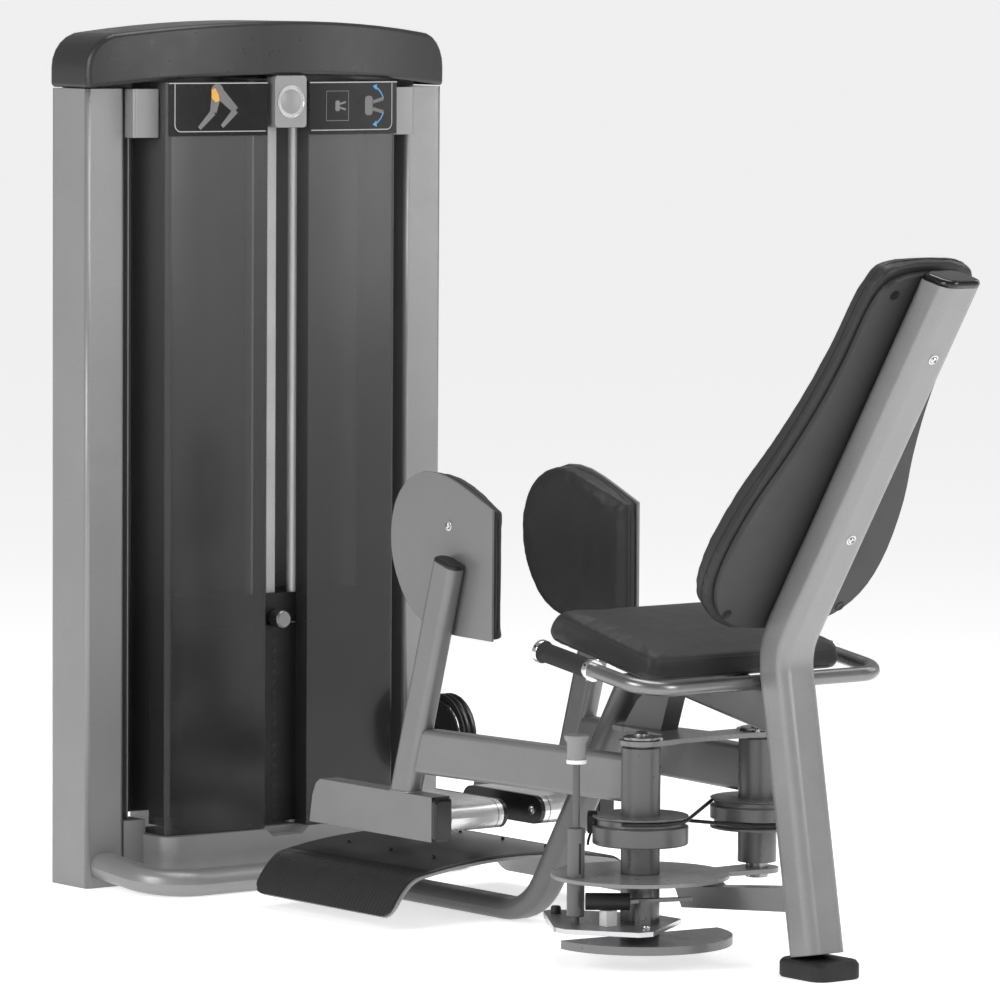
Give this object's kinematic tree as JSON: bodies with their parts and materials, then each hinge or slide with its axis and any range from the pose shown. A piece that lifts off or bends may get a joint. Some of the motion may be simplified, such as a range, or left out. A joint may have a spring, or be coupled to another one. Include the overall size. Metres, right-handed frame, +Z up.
{
  "type": "hip abductor machine",
  "caption": "Seated hip abductor machine: weight tower, foot step, two coupled swing arms with knee pads, tilted seat, back rest and handlebar.",
  "frame": {"origin": "on the floor, under the middle of the machine's bounding box", "axes": "+Z up; +X from the weight tower towards the seat; +Y to the user's right, as the user faces -X"},
  "size_m": [1.959, 0.772, 1.507],
  "materials": {
    "silver_paint": "satin metallic powder coat",
    "graphite_plastic": "satin moulded plastic",
    "smoked_plastic": "smoked, semi-gloss",
    "black_rubber": "matt, ribbed on the mat",
    "black_vinyl": "fine-grained leatherette",
    "black_board": "matt",
    "chrome": "polished",
    "steel": "brushed",
    "cast_iron": "black satin",
    "grey_belt": "matt woven belt"
  },
  "bodies": {
    "base_frame": {"back_board": "black_board", "back_pad": "black_vinyl", "badge_block": "silver_paint", "base_tray": "silver_paint", "base_tube": "silver_paint", "foot_mat": "black_rubber", "foot_step": "silver_paint", "handlebar": "steel", "idler_bracket": "cast_iron", "left_bracket": "silver_paint", "left_front_panel": "smoked_plastic", "left_grip": "black_rubber", "left_guide_rod": "chrome", "left_pivot_shaft": "steel", "left_post": "silver_paint", "lower_bearing_plate": "silver_paint", "lower_cross_cable": "black_rubber", "rear_cover": "silver_paint", "rear_foot": "black_rubber", "rear_post": "silver_paint", "rear_post_cap": "graphite_plastic", "right_bracket": "silver_paint", "right_front_panel": "smoked_plastic", "right_grip": "black_rubber", "right_guide_rod": "chrome", "right_pivot_shaft": "steel", "right_post": "silver_paint", "seat_pad": "black_vinyl", "seat_rail": "silver_paint", "spine_tube": "silver_paint", "top_beam": "silver_paint", "top_bearing_plate": "silver_paint", "top_cap": "graphite_plastic", "upper_cross_cable": "black_rubber", "weight_plates": "cast_iron"},
    "left_arm": {"left_pivot_tube": "silver_paint", "left_arm_tube": "silver_paint", "left_upright": "silver_paint", "left_foot_tube": "silver_paint", "left_footrest": "chrome", "left_pad_plate": "silver_paint", "left_knee_pad": "black_vinyl", "left_cable_wheel": "silver_paint", "index_disc": "silver_paint", "pin_sleeve": "steel"},
    "right_arm": {"right_pivot_tube": "silver_paint", "right_arm_tube": "silver_paint", "right_upright": "silver_paint", "right_foot_tube": "silver_paint", "right_footrest": "chrome", "right_pad_plate": "silver_paint", "right_knee_pad": "black_vinyl", "right_cable_wheel": "silver_paint"},
    "pull_pin": {"pull_pin": "steel"},
    "drive_cam": {"drive_cam": "steel", "bumper": "black_rubber"},
    "lifted_stack": {"weight_head_plate": "cast_iron", "lift_belt": "grey_belt"},
    "selector_pin": {"selector_pin": "steel"},
    "idler_pulley": {"idler_pulley": "cast_iron"}
  },
  "joints": [
    {"name": "left_arm_swing", "type": "hinge", "parent": "base_frame", "child": "left_arm", "pos_m": [0.3414, -0.1232, 0], "axis": [0, 0, 1], "range_deg": [0, 50]},
    {"name": "right_arm_swing", "type": "hinge", "parent": "base_frame", "child": "right_arm", "pos_m": [0.3414, 0.1232, 0], "axis": [0, 0, 1], "range_deg": [-50, 0]},
    {"name": "drive_cam_turn", "type": "hinge", "parent": "base_frame", "child": "drive_cam", "pos_m": [0.3414, -0.1232, 0], "axis": [0, 0, 1], "range_deg": [0, 50]},
    {"name": "stack_lift", "type": "slide", "parent": "base_frame", "child": "lifted_stack", "axis": [0, 0, 1], "range_m": [0, 0.121], "deforming": ["lift_belt"]},
    {"name": "selector_pin_pull", "type": "slide", "parent": "lifted_stack", "child": "selector_pin", "axis": [1, 0, 0], "range_m": [0, 0.055]},
    {"name": "pull_pin_lift", "type": "slide", "parent": "left_arm", "child": "pull_pin", "axis": [0, 0, 1], "range_m": [0, 0.015], "stiffness_N_per_m": 600, "springref_m": -0.01},
    {"name": "idler_spin", "type": "hinge", "parent": "base_frame", "child": "idler_pulley", "pos_m": [-0.778, 0.333, 0.232], "axis": [0, 1, 0], "range_deg": [0, 105]}
  ],
  "couplings": [
    {"joint": "right_arm_swing", "follows": "left_arm_swing", "ratio": -1},
    {"joint": "drive_cam_turn", "follows": "left_arm_swing", "ratio": 1},
    {"joint": "stack_lift", "follows": "left_arm_swing", "m_per_rad": 0.1375},
    {"joint": "idler_spin", "follows": "left_arm_swing", "ratio": 2}
  ]
}
